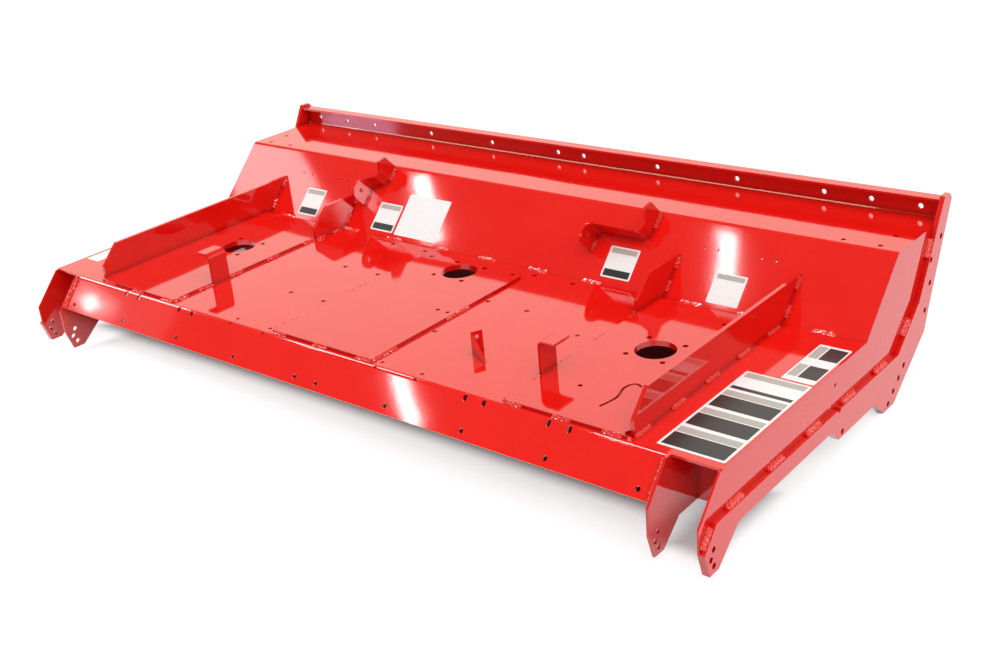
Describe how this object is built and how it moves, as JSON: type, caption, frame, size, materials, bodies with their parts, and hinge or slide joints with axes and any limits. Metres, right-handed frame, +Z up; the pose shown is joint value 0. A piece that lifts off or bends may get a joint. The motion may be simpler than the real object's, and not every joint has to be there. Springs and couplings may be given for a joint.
{
  "type": "mower deck",
  "caption": "Welded steel rotary mower deck: folded top with spindle bores, sloped wall and ledge, stepped side plates and wheel forks.",
  "frame": {"origin": "centre of the bounding box on the plane of the feet", "axes": "+X along the deck to the right as seen from the open skirt, +Y from the skirt to the top rail, +Z up"},
  "size_m": [1.83, 0.949, 0.36],
  "materials": {
    "powder_coat": "high-gloss red powder coat",
    "label_film": "satin printed vinyl film with plain colour fields"
  },
  "bodies": {
    "root": {"deck_sheet": "powder_coat", "wall_sheet": "powder_coat", "top_rail": "powder_coat", "end_panel_right": "powder_coat", "end_panel_left": "powder_coat", "side_plate_right": "powder_coat", "side_plate_left": "powder_coat", "inner_leg_right": "powder_coat", "inner_leg_left": "powder_coat", "pocket_plate_right": "powder_coat", "pocket_plate_left": "powder_coat", "spindle_plate_right": "powder_coat", "spindle_plate_middle": "powder_coat", "spindle_plate_left": "powder_coat", "deck_rail_right": "powder_coat", "deck_rail_left": "powder_coat", "gusset_right": "powder_coat", "gusset_left": "powder_coat", "belt_guide_right": "powder_coat", "belt_guide_left": "powder_coat", "spring_tab": "powder_coat", "lift_bracket_left": "powder_coat", "lift_bracket_right": "powder_coat", "wall_welds": "powder_coat", "rail_welds": "powder_coat", "plate_welds": "powder_coat", "side_welds": "powder_coat", "gusset_welds": "powder_coat", "bracket_welds": "powder_coat", "leg_welds": "powder_coat"}
  },
  "joints": []
}
